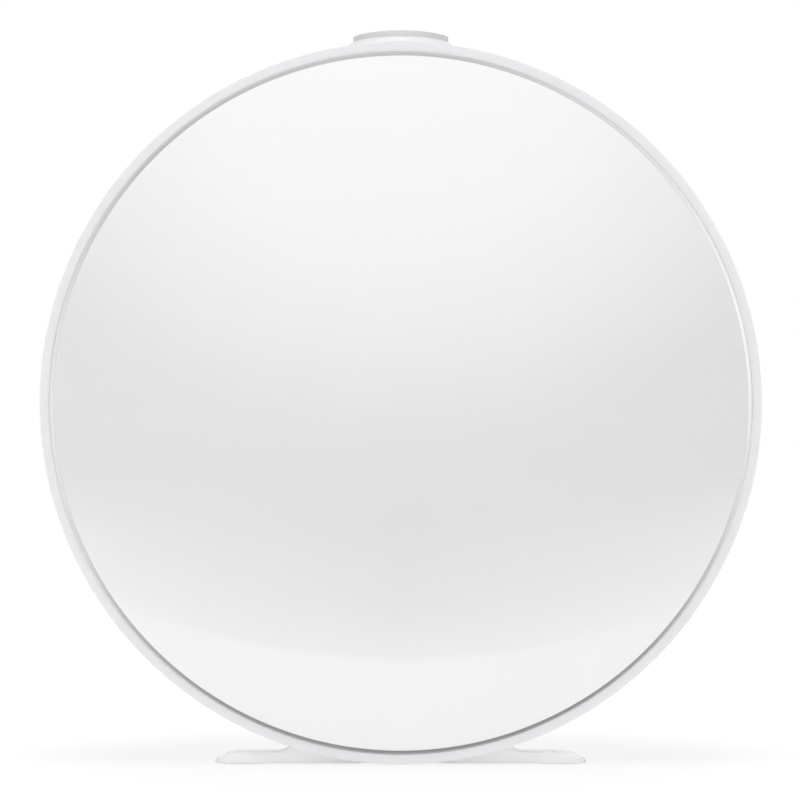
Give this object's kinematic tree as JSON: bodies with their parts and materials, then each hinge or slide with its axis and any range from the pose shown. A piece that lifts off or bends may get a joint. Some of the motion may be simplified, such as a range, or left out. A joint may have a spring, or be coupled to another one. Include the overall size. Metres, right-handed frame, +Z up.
{
  "type": "smart speaker",
  "caption": "Table-top smart speaker: upright disc with a glossy domed front, press button on top, rear grille and a low foot.",
  "frame": {"origin": "on the table, under the middle of the whole object", "axes": "+X to the right seen from the front, +Y to the rear, +Z up; the domed front faces -Y"},
  "size_m": [0.24, 0.095, 0.2445],
  "materials": {
    "opal_dome": "polished opal acrylic",
    "satin_metal": "satin",
    "white_shell": "fine satin moulding",
    "white_inner": "matt",
    "diffuser_film": "frosted",
    "dark_plastic": "matt",
    "grey_button": "satin",
    "circuit_board": "solder mask",
    "led_chip": "phosphor",
    "chip_black": "moulded",
    "capacitor_can": "sleeved",
    "screw_steel": "zinc plated",
    "bright_metal": "tinned",
    "grille_steel": "powder coated",
    "black_steel": "black coated",
    "magnet_ferrite": "sintered",
    "coil_wire": "enamelled copper",
    "cone_paper": "coated paper",
    "spider_cloth": "impregnated cloth",
    "black_cloth": "acoustic cloth",
    "black_rubber": "matt",
    "pad_silicone": "silicone",
    "contact_gold": "plated",
    "white_painted_metal": "satin paint on die casting"
  },
  "bodies": {
    "housing": {"front_dome": "opal_dome", "trim_ring": "satin_metal", "bezel_ring": "white_shell", "rear_housing": "white_shell", "chassis": "dark_plastic", "light_diffuser": "diffuser_film", "reflector_tray": "white_inner", "led_board": "circuit_board", "leds": "led_chip", "led_screws": "screw_steel", "bezel_screws": "screw_steel", "rear_grille": "grille_steel", "grille_cloth": "black_cloth", "acoustic_chamber": "dark_plastic", "driver_basket": "black_steel", "driver_gasket": "black_rubber", "driver_screws": "screw_steel", "magnet": "magnet_ferrite", "yoke": "screw_steel", "top_plate": "screw_steel", "surround": "black_rubber", "spider": "spider_cloth", "main_board": "circuit_board", "shield_can": "bright_metal", "board_chips": "chip_black", "capacitors": "capacitor_can", "board_screws": "screw_steel", "antenna": "chip_black", "port_bay": "white_shell", "port_board": "circuit_board", "dc_jack": "chip_black", "dc_pin": "contact_gold", "usb_port": "bright_metal", "usb_tongue": "chip_black", "mute_switch": "bright_metal", "button_spring": "bright_metal", "switch_board": "circuit_board", "tact_switch": "chip_black", "switch_screws": "screw_steel", "mic_boards": "circuit_board", "mic_seals": "black_rubber", "housing_screws": "screw_steel", "foot": "white_painted_metal", "foot_ballast": "screw_steel", "foot_pads": "pad_silicone", "foot_screws": "screw_steel"},
    "button": {"button_cap": "grey_button", "button_plunger": "white_inner", "switch_nub": "chip_black"},
    "mute": {"mute_slider": "dark_plastic"},
    "diaphragm": {"cone": "cone_paper", "dust_cap": "cone_paper", "voice_coil": "coil_wire"}
  },
  "joints": [
    {"name": "button_press", "type": "slide", "parent": "housing", "child": "button", "axis": [0, 0, -1], "range_m": [0, 0.0006], "stiffness_N_per_m": 1500, "springref_m": -0.001, "deforming": ["button_spring"]},
    {"name": "mute_slide", "type": "slide", "parent": "housing", "child": "mute", "axis": [1, 0, 0], "range_m": [0, 0.0025]},
    {"name": "diaphragm_travel", "type": "slide", "parent": "housing", "child": "diaphragm", "axis": [0, 1, 0], "range_m": [-0.0015, 0.0015], "stiffness_N_per_m": 1200, "deforming": ["surround", "spider"]}
  ]
}
